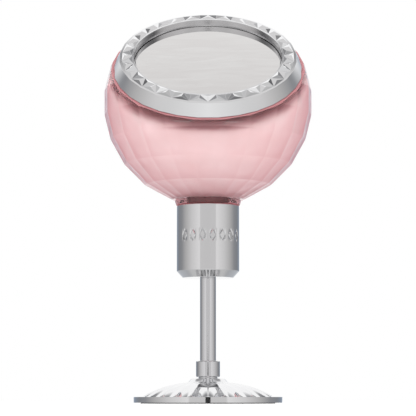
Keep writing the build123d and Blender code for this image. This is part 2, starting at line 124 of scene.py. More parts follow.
# Each ring of tones, and the sines of the heights between which it takes over from the ring below.
RINGS = (
    (NEAR_FLOOR, -0.85, -0.70),
    (LOW_WALL, -0.22, -0.05),
    (HIGH_WALL, 0.24, 0.38),
    (EAVES, 0.64, 0.72),
    (ROOF, 0.90, 0.965),
)
FRONT_LIGHT = 2.8           # soft light on matt surfaces: strongest from in front and above
BACK_LIGHT = 0.9
LIGHT_WAY = (0, -0.87, 0.5)


def colour(hexadecimal):
    """sRGB hex to the linear colour that a shader takes."""
    values = []
    for place in (0, 2, 4):
        share = int(hexadecimal[place:place + 2], 16) / 255
        values.append(share / 12.92 if share <= 0.04045 else ((share + 0.055) / 1.055) ** 2.4)
    return (*values, 1.0)


def add(tree, kind, inputs, **settings):
    """Adds a node. Each input is a value for that socket, or the socket that feeds it."""
    node = tree.nodes.new(kind)
    for name, value in settings.items():
        setattr(node, name, value)
    for name, value in inputs.items():
        if isinstance(value, bpy.types.NodeSocket):
            tree.links.new(value, node.inputs[name])
        else:
            node.inputs[name].default_value = value
    return node


def set_stops(ramp, stops):
    """Gives a colour ramp its stops, each (place, sRGB hex)."""
    while len(ramp.elements) > len(stops):
        ramp.elements.remove(ramp.elements[-1])
    while len(ramp.elements) < len(stops):
        ramp.elements.new(0.5)
    for element, (place, hexadecimal) in zip(ramp.elements, stops):
        element.position = place
        element.color = colour(hexadecimal)


world = bpy.data.worlds.new("tent")
bpy.context.scene.world = world
world.use_nodes = True
world.node_tree.nodes.clear()
way = add(world.node_tree, "ShaderNodeTexCoord", {})
parts = add(world.node_tree, "ShaderNodeSeparateXYZ", {"Vector": way.outputs["Generated"]})
ahead = add(world.node_tree, "ShaderNodeMath", {0: parts.outputs["Y"], 1: -1.0}, operation="MULTIPLY")
turn = add(
    world.node_tree, "ShaderNodeMath", {0: parts.outputs["X"], 1: ahead.outputs[0]}, operation="ARCTAN2"
)
half_turn = add(world.node_tree, "ShaderNodeMath", {0: turn.outputs[0]}, operation="ABSOLUTE")
round_share = add(
    world.node_tree, "ShaderNodeMath", {0: half_turn.outputs[0], 1: math.pi}, operation="DIVIDE"
)


def tones(stops):
    """Ramp of tones round the tent, from the camera's side to the back."""
    ramp = add(world.node_tree, "ShaderNodeValToRGB", {"Fac": round_share.outputs[0]})
    set_stops(ramp.color_ramp, stops)
    return ramp.outputs["Color"]


tent = tones(DEEP_FLOOR)
for ring_stops, start, end in RINGS:
    share = add(
        world.node_tree,
        "ShaderNodeMapRange",
        {"Value": parts.outputs["Z"], "From Min": start, "From Max": end},
        interpolation_type="SMOOTHSTEP",
    )
    tent = add(
        world.node_tree,
        "ShaderNodeMix",
        {"Factor": share.outputs["Result"], 6: tent, 7: tones(ring_stops)},
        data_type="RGBA",
    ).outputs[2]
facing = add(
    world.node_tree,
    "ShaderNodeVectorMath",
    {0: way.outputs["Generated"], 1: LIGHT_WAY},
    operation="DOT_PRODUCT",
)
front = add(
    world.node_tree,
    "ShaderNodeMapRange",
    {
        "Value": facing.outputs["Value"],
        "From Min": -1.0,
        "From Max": 1.0,
        "To Min": BACK_LIGHT,
        "To Max": FRONT_LIGHT,
    },
)
polished = add(world.node_tree, "ShaderNodeBackground", {"Color": tent})
matt = add(
    world.node_tree,
    "ShaderNodeBackground",
    {"Color": colour("FFFFFF"), "Strength": front.outputs["Result"]},
)
plain = add(world.node_tree, "ShaderNodeBackground", {"Color": colour("FFFFFF")})
seen = add(world.node_tree, "ShaderNodeLightPath", {})
lit = add(
    world.node_tree,
    "ShaderNodeMixShader",
    {0: seen.outputs["Diffuse Depth"], 1: polished.outputs[0], 2: matt.outputs[0]},
)
chosen = add(
    world.node_tree,
    "ShaderNodeMixShader",
    {0: seen.outputs["Is Camera Ray"], 1: lit.outputs[0], 2: plain.outputs[0]},
)
add(world.node_tree, "ShaderNodeOutputWorld", {"Surface": chosen.outputs[0]})


# ---- Floor ---------------------------------------------------------------------------------------
# A plain white sheet under the foot.
FLOOR_SIZE = 1.8

bpy.ops.object.select_all(action="DESELECT")
bpy.ops.mesh.primitive_plane_add(size=FLOOR_SIZE, location=(0, 0, cad_low.z - 0.02 * MM))
floor = bpy.context.object
floor.name = "floor"
floor_paper = bpy.data.materials.new("matt_paper_floor")
floor_paper.use_nodes = True
floor_shader = floor_paper.node_tree.nodes["Principled BSDF"]
floor_shader.inputs["Base Color"].default_value = colour("D2D2D2")
floor_shader.inputs["Roughness"].default_value = 0.9
floor.data.materials.append(floor_paper)
floor.visible_glossy = False

# The camera's own dark front, which polished metal shows as a small black mark.
CAMERA_FRONT = (0.10, 0.056)

bpy.ops.mesh.primitive_plane_add(
    size=1, location=(0, -CAMERA_DISTANCE - 0.03, 0.008), rotation=(math.pi / 2, 0, 0)
)
camera_front = bpy.context.object
camera_front.name = "camera_front"
camera_front.scale = (*CAMERA_FRONT, 1)
black = bpy.data.materials.new("black_camera")
black.use_nodes = True
black.node_tree.nodes["Principled BSDF"].inputs["Base Color"].default_value = colour("050505")
camera_front.data.materials.append(black)
camera_front.visible_camera = False
camera_front.visible_diffuse = False
camera_front.visible_shadow = False


# ---- Foot ----------------------------------------------------------------------------------------
# One zinc die casting with bright chrome on it: a flat rim, a low dome with 24 flutes that end in
# round scallops at the top, and a stepped hub. Its underside has a pocket for the felt pad.
FLUTES = 24
FLUTE_SHARE = 0.96          # part of each pitch that a flute takes
FLUTE_DEPTH = 0.8           # at the rim; a flute gets shallower towards the crown
FLUTE_LEAST = 0.22          # share of that depth that is left at the crown
SCALLOP = 1.5               # mm, over which the inner end of a flute closes
FOOT_SIDES = 16 * FLUTES
DOME_RINGS = 44
RIM_STEP = 0.45             # dome's edge above the ledge
LEDGE = 3.9
DOME_CURVE = 38.5           # mm, radius of the dome's outline
CROWN = 9.5
CROWN_RISE = 4.79           # crown above the dome's edge
HUB = 6.5
HUB_STEP = 0.54             # hub's flat below the collar round the sleeve
RIM_THICKNESS = 2.1


def turned(name, outline, sides):
    """Solid of revolution: a ring of edges extruded round a closed outline of (radius, height) in mm."""
    radius, height = outline[0]
    bpy.ops.object.select_all(action="DESELECT")
    bpy.ops.mesh.primitive_circle_add(vertices=sides, radius=radius * MM, location=(0, 0, height * MM))
    piece = bpy.context.object
    piece.name = name
    bpy.ops.object.transform_apply()
    bpy.ops.object.mode_set(mode="EDIT")
    bpy.ops.mesh.select_all(action="SELECT")
    for next_radius, next_height in outline[1:] + outline[:1]:
        rise = (next_height - height) * MM
        bpy.ops.mesh.extrude_edges_move(TRANSFORM_OT_translate={"value": (0, 0, rise)})
        share = next_radius / radius
        bpy.ops.transform.resize(value=(share, share, 1), center_override=(0, 0, 0))
        radius, height = next_radius, next_height
    bpy.ops.mesh.select_all(action="SELECT")
    bpy.ops.mesh.remove_doubles(threshold=0.002 * MM)
    bpy.ops.mesh.normals_make_consistent(inside=False)
    bpy.ops.object.mode_set(mode="OBJECT")
    return piece


def apply(piece, kind, **settings):
    """Adds one modifier to a piece and applies it."""
    bpy.ops.object.select_all(action="DESELECT")
    piece.select_set(True)
    bpy.context.view_layer.objects.active = piece
    modifier = piece.modifiers.new(kind.lower(), kind)
    for name, value in settings.items():
        setattr(modifier, name, value)
    bpy.ops.object.modifier_apply(modifier=modifier.name)


def soften(piece, width, segments=3, corner=28):
    """Rounds every edge sharper than the corner angle and shades the rest smooth."""
    apply(
        piece,
        "BEVEL",
        width=width * MM,
        segments=segments,
        limit_method="ANGLE",
        angle_limit=math.radians(corner),
    )
    smooth(piece)


def smooth(piece, corner=38):
    """Smooth shading that keeps large flat faces flat."""
    bpy.ops.object.select_all(action="DESELECT")
    piece.select_set(True)
    bpy.context.view_layer.objects.active = piece
    bpy.ops.object.shade_smooth_by_angle(angle=math.radians(corner))
    apply(piece, "WEIGHTED_NORMAL", keep_sharp=True, weight=60)


def polished_chrome(name, tone, rough_low, rough_high, ripple):
    """Bright nickel-chrome plate: a mirror with the faint waviness of the casting under it."""
    material = bpy.data.materials.new(name)
    material.use_nodes = True
    tree = material.node_tree
    shader = tree.nodes["Principled BSDF"]
    shader.inputs["Base Color"].default_value = colour(tone)
    shader.inputs["Metallic"].default_value = 1.0
    place = add(tree, "ShaderNodeTexCoord", {})
    # Fine wipe marks about 0.4 mm apart change the gloss a little.
    wipes = add(
        tree, "ShaderNodeTexNoise", {"Vector": place.outputs["Object"], "Scale": 2400.0, "Detail": 3.0}
    )
    gloss = add(
        tree,
        "ShaderNodeMapRange",
        {"Value": wipes.outputs["Fac"], "To Min": rough_low, "To Max": rough_high},
    )
    tree.links.new(gloss.outputs["Result"], shader.inputs["Roughness"])
    # Slow waves about 4 mm long are left by polishing before the plating.
    waves = add(
        tree, "ShaderNodeTexNoise", {"Vector": place.outputs["Object"], "Scale": 250.0, "Detail": 1.0}
    )
    relief = add(
        tree, "ShaderNodeBump", {"Height": waves.outputs["Fac"], "Strength": ripple, "Distance": 0.05 * MM}
    )
    tree.links.new(relief.outputs["Normal"], shader.inputs["Normal"])
    return material


foot_low, foot_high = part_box("foot_base")
foot_radius = foot_high.x / MM
foot_top = foot_high.z / MM
foot_bottom = foot_low.z / MM
rim_top = foot_bottom + RIM_THICKNESS
dome_edge = foot_radius - LEDGE
hub_top = foot_top - HUB_STEP
pad_low, pad_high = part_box("foot_pad")
pocket = pad_high.x / MM + 0.1
pocket_top = pad_high.z / MM
washer_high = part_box("foot_washer")[1]
nut_room = washer_high.x / MM + 0.4
nut_seat = washer_high.z / MM
rod_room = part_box("tie_rod")[1].x / MM + 0.1


def dome_height(radius):
    """Height of the dome's outline: an arc through its edge and the crown."""
    start = Vector((dome_edge, rim_top + RIM_STEP))
    end = Vector((CROWN, rim_top + RIM_STEP + CROWN_RISE))
    chord = end - start
    middle = (start + end) / 2
    down = Vector((-chord.y, chord.x)).normalized()
    if down.y > 0:
        down = -down
    centre = middle + down * math.sqrt(DOME_CURVE ** 2 - (chord.length / 2) ** 2)
    return centre.y + math.sqrt(DOME_CURVE ** 2 - (radius - centre.x) ** 2)


dome_outline = []
for ring in range(DOME_RINGS + 1):
    radius = CROWN + (dome_edge - CROWN) * ring / DOME_RINGS
    dome_outline.append((radius, dome_height(radius)))

foot = turned(
    "foot_casting",
    [(rod_room, foot_top), (3.45, foot_top), (3.6, foot_top - 0.15), (3.6, hub_top), (HUB - 0.5, hub_top)]
    + [(HUB, hub_top - 0.2), (HUB + 0.9, dome_height(CROWN) + 0.5)]
    + [(CROWN - 0.9, dome_height(CROWN) + 0.12)]
    + dome_outline
    + [(dome_edge, rim_top), (foot_radius, rim_top), (foot_radius, foot_bottom), (pocket, foot_bottom)]
    + [(pocket, pocket_top), (nut_room, pocket_top), (nut_room, nut_seat), (rod_room, nut_seat)],
    FOOT_SIDES,
)

# The flutes: each vertex of the dome sinks by a round hollow that is centred in its pitch.
pitch = 2 * math.pi / FLUTES
bpy.ops.object.mode_set(mode="EDIT")
shape = bmesh.from_edit_mesh(foot.data)
for vertex in shape.verts:
    radius = math.hypot(vertex.co.x, vertex.co.y) / MM
    on_dome = CROWN - 0.01 < radius < dome_edge + 0.01 and vertex.co.z / MM > rim_top + 0.2
    if not on_dome:
        continue
    angle = math.atan2(vertex.co.x, -vertex.co.y) % pitch
    aside = (angle / pitch - 0.5) * 2
    closing = min(1.0, (radius - CROWN) / SCALLOP)
    half = FLUTE_SHARE * math.sqrt(max(0.0, 1 - (1 - closing) ** 2))
    if abs(aside) < half:
        depth = FLUTE_DEPTH * max(FLUTE_LEAST, (radius / dome_edge) ** 3) * half / FLUTE_SHARE
        vertex.co.z -= depth * MM * (1 - (aside / half) ** 2)
bmesh.update_edit_mesh(foot.data)
bpy.ops.object.mode_set(mode="OBJECT")
soften(foot, 0.12, segments=2, corner=40)
foot.data.materials.append(polished_chrome("chrome_on_zinc_casting", "F1F1F2", 0.03, 0.09, 0.12))
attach(foot, "stand")
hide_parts("foot_base")

# ---- Stem ------------------------------------------------------------------------------------------
# A drawn brass tube and a turned sleeve at its lower end, both chrome plated and polished.
TUBE_WALL = 0.8

sleeve_low, sleeve_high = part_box("stem_ferrule")
sleeve_radius = sleeve_high.x / MM
tube_low, tube_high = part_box("stem_tube")
tube_radius = tube_high.x / MM

ferrule = turned(
    "stem_sleeve",
    [
        (rod_room, sleeve_low.z / MM),
        (sleeve_radius, sleeve_low.z / MM),
        (sleeve_radius, sleeve_high.z / MM),
        (tube_radius, sleeve_high.z / MM),
        (tube_radius, tube_low.z / MM),
        (rod_room, tube_low.z / MM),
    ],
    128,
)
soften(ferrule, 0.45, segments=5)
turned_chrome = polished_chrome("chrome_on_turned_brass", "E9E9EB", 0.05, 0.12, 0.05)
ferrule.data.materials.append(turned_chrome)
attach(ferrule, "stand")
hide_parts("stem_ferrule")

stem = turned(
    "stem_pipe",
    [
        (tube_radius - TUBE_WALL, tube_low.z / MM),
        (tube_radius, tube_low.z / MM),
        (tube_radius, tube_high.z / MM),
        (tube_radius - TUBE_WALL, tube_high.z / MM),
    ],
    128,
)
soften(stem, 0.1)
stem.data.materials.append(turned_chrome)
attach(stem, "stand")
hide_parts("stem_tube")

# ---- Cap -------------------------------------------------------------------------------------------
# A drawn metal cup with a broad chamfer at its foot. A row of plain lozenges is engraved round its
# front, a little to the right of the middle.
CAP_WALL = 0.9
CAP_FLOOR = 1.5
CHAMFER_OUT = 2.36
CHAMFER_UP = 2.55
LOZENGES = 7
LOZENGE_PITCH = 19.0        # degrees
LOZENGE_MIDDLE = 9.0
LOZENGE_DROP = 11.5
LOZENGE_SIZE = (2.3, 4.1)
LOZENGE_LINE = 0.62

cap_low, cap_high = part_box("cap_shell")
cap_radius = cap_high.x / MM
cap_top = cap_high.z / MM
cap_bottom = cap_low.z / MM
cap_bore = cap_radius - CAP_WALL
floor_radius = cap_bore - CHAMFER_OUT / CHAMFER_UP * (CHAMFER_UP - CAP_FLOOR)
lozenge_height = cap_top - LOZENGE_DROP
lozenge_reach = LOZENGE_SIZE[1] / 2 + 0.5
cap = turned(
    "cap_cup",
    [
        (rod_room, cap_bottom),
        (cap_radius - CHAMFER_OUT, cap_bottom),
        (cap_radius, cap_bottom + CHAMFER_UP),
        (cap_radius, lozenge_height - lozenge_reach),
        (cap_radius, lozenge_height + lozenge_reach),
        (cap_radius, cap_top),
        (cap_bore, cap_top),
        (cap_bore, cap_bottom + CHAMFER_UP),
        (floor_radius, cap_bottom + CAP_FLOOR),
        (rod_room, cap_bottom + CAP_FLOOR),
    ],
    256,
)
soften(cap, 0.18)


def engraver(name, turn_degrees):
    """A lozenge-shaped bar, sunk in the cap's surface, that cuts a V-shaped line."""
    bpy.ops.object.select_all(action="DESELECT")
    bpy.ops.mesh.primitive_torus_add(
        major_segments=4,
        minor_segments=4,
        major_radius=LOZENGE_SIZE[0] / 2 * MM,
        minor_radius=LOZENGE_LINE / 2 * MM,
    )
    bar = bpy.context.object
    bar.name = name
    bpy.ops.object.mode_set(mode="EDIT")
    bpy.ops.mesh.select_all(action="SELECT")
    tall = LOZENGE_SIZE[1] / LOZENGE_SIZE[0]
    bpy.ops.transform.resize(value=(1, tall, 1), center_override=(0, 0, 0))
    bpy.ops.object.mode_set(mode="OBJECT")
    upright = Matrix.Rotation(math.pi / 2, 4, "X")
    outwards = Matrix.Translation((0, -(cap_radius - 0.03) * MM, lozenge_height * MM))
    round_cap = Matrix.Rotation(math.radians(turn_degrees), 4, "Z")
    bar.data.transform(round_cap @ outwards @ upright)
    return bar


for step in range(LOZENGES):
    bar = engraver("engraver", LOZENGE_MIDDLE + (step - (LOZENGES - 1) / 2) * LOZENGE_PITCH)
    apply(cap, "BOOLEAN", object=bar, operation="DIFFERENCE", solver="EXACT")
    bpy.data.objects.remove(bar)
smooth(cap, corner=25)
cap.data.materials.append(polished_chrome("chrome_on_drawn_cup", "ECECED", 0.04, 0.10, 0.06))
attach(cap, "stand")
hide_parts("cap_shell")

# ---- Bottle ------------------------------------------------------------------------------------------
# Thick clear glass blown in a mould: a globe of 22 columns of flat facets, cut off at a slant, with
# a round land and a crimp neck below. The inside of the globe is sprayed with pink lacquer.
TILT = math.radians(40)
MIRROR_MIDDLE = 17.15       # mm from the globe's centre to the middle of the mirror's thickness
GLOBE = 39.6
WALL = 5.0
COLUMNS = 22
ROWS = (-70, -53, -37, -21, -7, 6.5, 21, 37, 53, 70)
CUT = 14.8
HEEL = 9.5                  # height of the bowl's flat roof above the globe's centre, along the slant
SHOULDER = 4.0              # height where the bowl starts to round over to its roof
RIDGE = 0.7                 # width of the rounded ridges between facets
HOLLOW_EDGE = 1.7
HOLLOW_DEPTH = 0.1
HOLLOW_AREA = 30            # mm2; smaller facets stay flat
NECK_BORE = 5.35
BEAD = 7.5
BEAD_HEIGHT = 2.6
NECK_WAIST = 0.9            # radius lost above the bead
NECK_HEIGHT = 6.2
LAND_HEIGHT = 1.7

slant = Vector((0, -math.sin(TILT), math.cos(TILT)))
mirror_low, mirror_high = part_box("mirror_disc")
globe_centre = (mirror_low + mirror_high) / 2 - slant * MIRROR_MIDDLE * MM
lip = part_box("glass_bottle")[0].z / MM
land = lip + NECK_HEIGHT
land_radius = cap_radius + 0.8

bpy.ops.object.select_all(action="DESELECT")
row_angle = math.radians(ROWS[0])
bpy.ops.mesh.primitive_circle_add(
    vertices=COLUMNS,
    radius=GLOBE * math.cos(row_angle) * MM,
    location=globe_centre + Vector((0, 0, GLOBE * math.sin(row_angle) * MM)),
    rotation=(0, 0, math.pi / 2),
    fill_type="NGON",
)
glass = bpy.context.object
glass.name = "bottle_glass"
bpy.ops.object.transform_apply()
bpy.ops.object.mode_set(mode="EDIT")
bpy.ops.mesh.select_all(action="SELECT")
for degrees in ROWS[1:]:
    next_angle = math.radians(degrees)
    rise = GLOBE * (math.sin(next_angle) - math.sin(row_angle)) * MM
    bpy.ops.mesh.extrude_region_move(TRANSFORM_OT_translate={"value": (0, 0, rise)})
    share = math.cos(next_angle) / math.cos(row_angle)
    bpy.ops.transform.resize(value=(share, share, 1), center_override=(0, 0, 0))
    row_angle = next_angle
bpy.ops.mesh.select_all(action="SELECT")
bpy.ops.mesh.normals_make_consistent(inside=False)
bpy.ops.mesh.bisect(
    plane_co=globe_centre + slant * CUT * MM, plane_no=slant, use_fill=True, clear_outer=True
)
bpy.ops.mesh.select_all(action="SELECT")
bpy.ops.mesh.remove_doubles(threshold=0.05 * MM)


def pick_faces(piece, test):
    """Selects the faces for which test(face) holds, with their edges and corners."""
    bpy.ops.mesh.select_mode(type="FACE")
    bpy.ops.mesh.select_all(action="DESELECT")
    shape = bmesh.from_edit_mesh(piece.data)
    for face in shape.faces:
        if test(face):
            face.select_set(True)
    bmesh.update_edit_mesh(piece.data)


# Each facet is pressed a little hollow.
pick_faces(glass, lambda face: len(face.verts) == 4 and face.calc_area() > HOLLOW_AREA * MM * MM)
bpy.ops.mesh.inset(thickness=HOLLOW_EDGE * MM, depth=-HOLLOW_DEPTH * MM, use_individual=True)
bpy.ops.mesh.select_mode(type="EDGE")
bpy.ops.mesh.select_all(action="SELECT")
bpy.ops.mesh.bevel(offset=RIDGE / 2 * MM, segments=3, affect="EDGES", clamp_overlap=True)
bpy.ops.object.mode_set(mode="OBJECT")

neck = turned(
    "neck",
    [
        (NECK_BORE - 2, lip),
        (BEAD, lip),
        (BEAD, lip + BEAD_HEIGHT),
        (BEAD - NECK_WAIST, lip + BEAD_HEIGHT + NECK_WAIST),
        (BEAD - NECK_WAIST, land),
        (land_radius - 0.5, land),
        (land_radius, land + LAND_HEIGHT),
        (land_radius - 0.4, land + LAND_HEIGHT + 0.1),
        (land_radius - 0.4, land + LAND_HEIGHT + 3),
        (NECK_BORE - 2, land + LAND_HEIGHT + 3),
    ],
    128,
)
apply(neck, "BEVEL", width=0.25 * MM, segments=3, limit_method="ANGLE", angle_limit=math.radians(28))
apply(glass, "BOOLEAN", object=neck, operation="UNION", solver="EXACT")
bpy.data.objects.remove(neck)


def clear_glass(name, painted_light_tint, roughness):
    """Soda glass, clear or ground, with a tint of painted pink light from the lacquer."""
    material = bpy.data.materials.new(name)
    material.use_nodes = True
    tree = material.node_tree
    shader = tree.nodes["Principled BSDF"]
    shader.inputs["Base Color"].default_value = colour(painted_light_tint)
    shader.inputs["Transmission Weight"].default_value = 1.0
    shader.inputs["IOR"].default_value = 1.5
    shader.inputs["Roughness"].default_value = roughness
    place = add(tree, "ShaderNodeTexCoord", {})
    # Slow waves about 7 mm long: moulded facets are never quite flat.
    waves = add(
        tree, "ShaderNodeTexNoise", {"Vector": place.outputs["Object"], "Scale": 140.0, "Detail": 1.0}
    )
    relief = add(
        tree, "ShaderNodeBump", {"Height": waves.outputs["Fac"], "Strength": 0.9, "Distance": 0.5 * MM}
    )
    tree.links.new(relief.outputs["Normal"], shader.inputs["Normal"])
    return material


def sprayed_lacquer(name, tone, thicker, aslant_shade):
    """Satin sprayed lacquer with faint clouds of thicker coats; its deeper tone where it is seen at a slant
    is painted shade.
    """
    material = bpy.data.materials.new(name)
    material.use_nodes = True
    tree = material.node_tree
    shader = tree.nodes["Principled BSDF"]
    place = add(tree, "ShaderNodeTexCoord", {})
    # Clouds about 12 mm across from the spray gun's passes.
    clouds = add(
        tree, "ShaderNodeTexNoise", {"Vector": place.outputs["Object"], "Scale": 80.0, "Detail": 2.0}
    )
    coats = add(tree, "ShaderNodeValToRGB", {"Fac": clouds.outputs["Fac"]})
    set_stops(coats.color_ramp, ((0.3, tone), (0.7, thicker)))
    # Painted shade: the colour turns deeper where the surface is seen at a slant, standing in for the
    # shadow in the bowl's roof and under the bezel.
    view = add(tree, "ShaderNodeLayerWeight", {"Blend": 0.5})
    depth = add(
        tree, "ShaderNodeMapRange", {"Value": view.outputs["Facing"], "From Min": 0.1, "From Max": 0.45}
    )
    coat_and_painted_shade = add(
        tree,
        "ShaderNodeMix",
        {"Factor": depth.outputs["Result"], 6: coats.outputs["Color"], 7: colour(aslant_shade)},
        data_type="RGBA",
    )
    tree.links.new(coat_and_painted_shade.outputs[2], shader.inputs["Base Color"])
    shader.inputs["Roughness"].default_value = 0.35
    return material


glass.data.materials.append(clear_glass("fire_polished_glass", "FFFBFB", 0.03))
lacquer = sprayed_lacquer("sprayed_pink_lacquer", "F8D3D4", "FBDDDE", "DCA3A9")
glass.data.materials.append(lacquer)
# The bore's lacquer is given dark tones: painted shade inside the narrow neck.
bore_shade_lacquer = sprayed_lacquer("bore_lacquer_painted_shade", "6B4042", "7D4C4E", "5E3638")
glass.data.materials.append(bore_shade_lacquer)

bpy.ops.object.select_all(action="DESELECT")
bpy.ops.mesh.primitive_uv_sphere_add(
    segments=96, ring_count=64, radius=(GLOBE - WALL) * MM, location=globe_centre
)
cavity = bpy.context.object
bpy.ops.object.transform_apply()
for vertex in cavity.data.vertices:
    height = (vertex.co - globe_centre).dot(slant) / MM
    if height > SHOULDER:
        rounded = SHOULDER + (HEEL - SHOULDER) * (1 - math.exp((SHOULDER - height) / (HEEL - SHOULDER)))
        vertex.co += slant * (rounded - height) * MM
cavity.data.materials.append(lacquer)
bpy.ops.object.select_all(action="DESELECT")
bore_top = globe_centre.z / MM - GLOBE + WALL + 3
bpy.ops.mesh.primitive_cylinder_add(
    vertices=96,
    radius=NECK_BORE * MM,
    depth=(bore_top - lip + 2) * MM,
    location=(0, 0, (bore_top + lip - 2) / 2 * MM),
)
bore = bpy.context.object
bpy.ops.object.transform_apply()
bore.data.materials.append(bore_shade_lacquer)
for cutter in (cavity, bore):
    apply(glass, "BOOLEAN", object=cutter, operation="DIFFERENCE", solver="EXACT", material_mode="TRANSFER")
    bpy.data.objects.remove(cutter)
smooth(glass, corner=30)

# The neck and the underside of the land are ground for the gasket, so they only let blurred light through.
# The slanting cut gets a deeper pink film, which is painted shade under the bezel.
# The ground seat's deep pink tint is painted light from the lacquer, darkened as painted shade in the neck.
ground = clear_glass("ground_glass_seat", "DE9096", 0.6)
under_bezel_shade = sprayed_lacquer("pink_film_painted_shade", "A97376", "B48083", "9A6367")
glass.data.materials.append(ground)
glass.data.materials.append(under_bezel_shade)
for face in glass.data.polygons:
    around = math.hypot(face.center.x, face.center.y) / MM
    height = (face.center - globe_centre).dot(slant) / MM
    if face.center.z / MM < land + 0.05 and around > NECK_BORE + 0.1:
        face.material_index = len(glass.data.materials) - 2
    elif height > CUT - 0.05:
        face.material_index = len(glass.data.materials) - 1
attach(glass, "bottle")
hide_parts("glass_bottle")

# ---- Bezel -------------------------------------------------------------------------------------------
# A die-cast ring, chrome plated. Its outer wall and its face are cut into triangles, and each
# triangle of the face is a low three-sided point between two plain borders.
BEZEL_COLUMNS = 30
BEZEL_RADIUS = 35.5
BEZEL_TOP_RADIUS = 33.2
BEZEL_LOW = 15.0
BEZEL_TOP = 19.76
BEZEL_CREST = 20.6
BEZEL_BORE = 27.7
BEZEL_FLOOR = 16.2
OUTER_BORDER = 0.8
INNER_BORDER = 0.75
POINT_HEIGHT = 0.6

half_column = math.pi / BEZEL_COLUMNS
face_slope = (BEZEL_CREST - BEZEL_TOP) / (BEZEL_TOP_RADIUS - BEZEL_BORE)


def face_height(radius):
    """Height of the sloping face above the globe's centre, along the slant."""
    return BEZEL_TOP + face_slope * (BEZEL_TOP_RADIUS - radius)


def extrude_face(radius, height, next_radius, next_height, turn_angle=0.0):
    """Extrudes the selected end face up, scales it to its next radius and turns it."""
    bpy.ops.mesh.extrude_region_move(TRANSFORM_OT_translate={"value": (0, 0, (next_height - height) * MM)})
    share = next_radius / radius
    bpy.ops.transform.resize(value=(share, share, 1), center_override=(0, 0, 0))
    if turn_angle:
        bpy.ops.transform.rotate(value=turn_angle, orient_axis="Z", center_override=(0, 0, 0))


def open_edges():
    """Selects every edge that has no face, or one."""
    bpy.ops.mesh.select_mode(type="EDGE")
    bpy.ops.mesh.select_all(action="DESELECT")
    bpy.ops.mesh.select_non_manifold(
        use_wire=True, use_boundary=True, use_multi_face=False, use_non_contiguous=False, use_verts=False
    )


bpy.ops.object.select_all(action="DESELECT")
bpy.ops.mesh.primitive_circle_add(
    vertices=BEZEL_COLUMNS,
    radius=BEZEL_RADIUS * MM,
    location=(0, 0, BEZEL_LOW * MM),
    rotation=(0, 0, half_column),
    fill_type="NGON",
)
bezel = bpy.context.object
bezel.name = "bezel_cut"
bpy.ops.object.transform_apply()
bpy.ops.object.mode_set(mode="EDIT")
bpy.ops.mesh.select_all(action="SELECT")
band_out = BEZEL_TOP_RADIUS - OUTER_BORDER
band_in = BEZEL_BORE + INNER_BORDER
extrude_face(BEZEL_RADIUS, BEZEL_LOW, BEZEL_TOP_RADIUS, BEZEL_TOP, half_column)
extrude_face(BEZEL_TOP_RADIUS, BEZEL_TOP, band_out, face_height(band_out))
extrude_face(band_out, face_height(band_out), band_in, face_height(band_in), half_column)
bpy.ops.mesh.delete(type="ONLY_FACE")
inner_edge = BEZEL_BORE + 0.12
bpy.ops.mesh.primitive_circle_add(
    vertices=8 * BEZEL_COLUMNS, radius=inner_edge * MM, location=(0, 0, face_height(inner_edge) * MM)
)
open_edges()
bpy.ops.mesh.bridge_edge_loops()
open_edges()
radius, height = inner_edge, face_height(inner_edge)
for next_radius, next_height in (
    (BEZEL_BORE, face_height(inner_edge) - 0.15),
    (BEZEL_BORE, BEZEL_FLOOR),
):
    bpy.ops.mesh.extrude_edges_move(TRANSFORM_OT_translate={"value": (0, 0, (next_height - height) * MM)})
    share = next_radius / radius
    bpy.ops.transform.resize(value=(share, share, 1), center_override=(0, 0, 0))
    radius, height = next_radius, next_height
bpy.ops.mesh.edge_face_add()
bpy.ops.mesh.select_all(action="SELECT")
bpy.ops.mesh.normals_make_consistent(inside=False)


def on_face_band(face):
    """True for the faces between the two plain borders."""
    radius = math.hypot(*face.calc_center_median()[:2]) / MM
    return len(face.verts) == 4 and band_in - 0.5 < radius < band_out and face.normal.z > 0.5


def on_outer_wall(face):
    """True for the faces of the cone-shaped outer wall."""
    radius = math.hypot(*face.calc_center_median()[:2]) / MM
    return len(face.verts) == 4 and radius > BEZEL_TOP_RADIUS - 0.1 and face.normal.z < 0.8


pick_faces(bezel, on_outer_wall)
bpy.ops.mesh.quads_convert_to_tris(quad_method="SHORTEST_DIAGONAL")
pick_faces(bezel, on_face_band)
bpy.ops.mesh.quads_convert_to_tris(quad_method="SHORTEST_DIAGONAL")
bpy.ops.mesh.poke(offset=POINT_HEIGHT * MM)
bpy.ops.object.mode_set(mode="OBJECT")
apply(bezel, "BEVEL", width=0.05 * MM, segments=2, limit_method="ANGLE", angle_limit=math.radians(9))
smooth(bezel, corner=8)
tilt_frame = Matrix.Translation(globe_centre) @ Matrix.Rotation(TILT, 4, "X")
bezel.data.materials.append(polished_chrome("chrome_diamond_cut", "F4F4F5", 0.02, 0.06, 0.03))
bezel.data.materials.append(polished_chrome("chrome_satin_bore", "DCDCDE", 0.16, 0.28, 0.3))
# The bezel's underside takes the same deeper pink film: painted shade under the bezel.
bezel.data.materials.append(under_bezel_shade)
for face in bezel.data.polygons:
    radius = math.hypot(face.center.x, face.center.y) / MM
    if abs(face.normal.z) < 0.3 and abs(radius - BEZEL_BORE) < 0.1:
        face.material_index = 1
    elif face.center.z / MM < BEZEL_LOW + 0.01:
        face.material_index = 2
bezel.data.transform(tilt_frame)
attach(bezel, "bottle")
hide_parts("bezel_ring")

# ---- Mirror ------------------------------------------------------------------------------------------
# A round float-glass mirror, silvered, with a ground edge, sunk in the bezel.
MIRROR_RADIUS = 27.5
MIRROR_LOW = 16.4
MIRROR_TOP = 17.9

